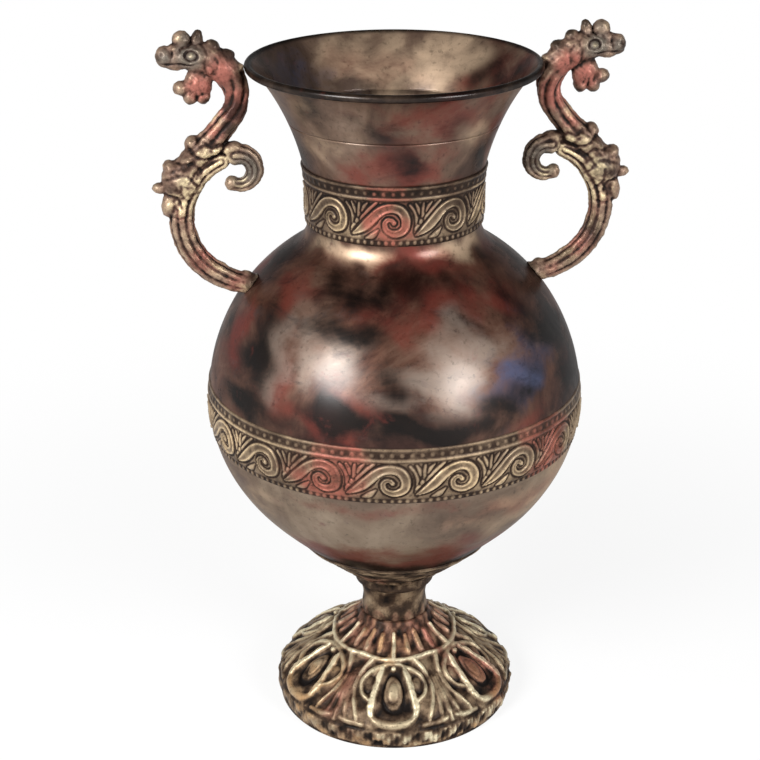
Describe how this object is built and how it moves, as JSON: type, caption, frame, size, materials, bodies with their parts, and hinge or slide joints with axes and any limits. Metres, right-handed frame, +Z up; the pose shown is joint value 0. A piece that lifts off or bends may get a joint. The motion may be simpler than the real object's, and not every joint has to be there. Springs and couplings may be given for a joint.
{
  "type": "two-handled footed amphora",
  "caption": "Footed metal amphora with a trumpet mouth, embossed scroll bands round neck and belly, a pressed dome foot and cast griffin-head handles; stands and holds dry stems.",
  "frame": {"origin": "centre of the foot's underside, on the ground", "axes": "+Z up the axis of the vase; the handles stand along +X (right) and -X (left); -Y faces the viewer"},
  "size_m": [0.2854, 0.2328, 0.4424],
  "materials": {
    "dark_bronze": "spun brass sheet under a glossy dark brown patina with maroon and olive blotches",
    "mouth_bronze": "spun brass sheet under a dark patina, worn to a khaki grey inside the mouth",
    "band_bronze": "embossed brass strip, black in the recesses and rubbed to pale gold on the crests",
    "cast_bronze": "cast brass, reddish brown patina with beige highlights and dark recesses",
    "foot_bronze": "pressed brass, dark recesses and cream gold ridges",
    "steel": "plain steel hardware"
  },
  "bodies": {
    "root": {"foot_dome": "foot_bronze", "stem_spool": "foot_bronze", "bowl_collar": "band_bronze", "lower_bowl": "dark_bronze", "upper_globe": "dark_bronze", "neck_tube": "dark_bronze", "mouth_funnel": "mouth_bronze", "rim_wire": "steel", "neck_band": "band_bronze", "belly_band": "band_bronze", "right_handle": "cast_bronze", "right_handle_screw": "steel", "right_screw_washer": "steel", "left_handle": "cast_bronze", "left_handle_screw": "steel", "left_screw_washer": "steel", "tie_bolt": "steel", "tie_nut": "steel", "bolt_washer": "steel", "foot_washer": "steel"}
  },
  "joints": []
}
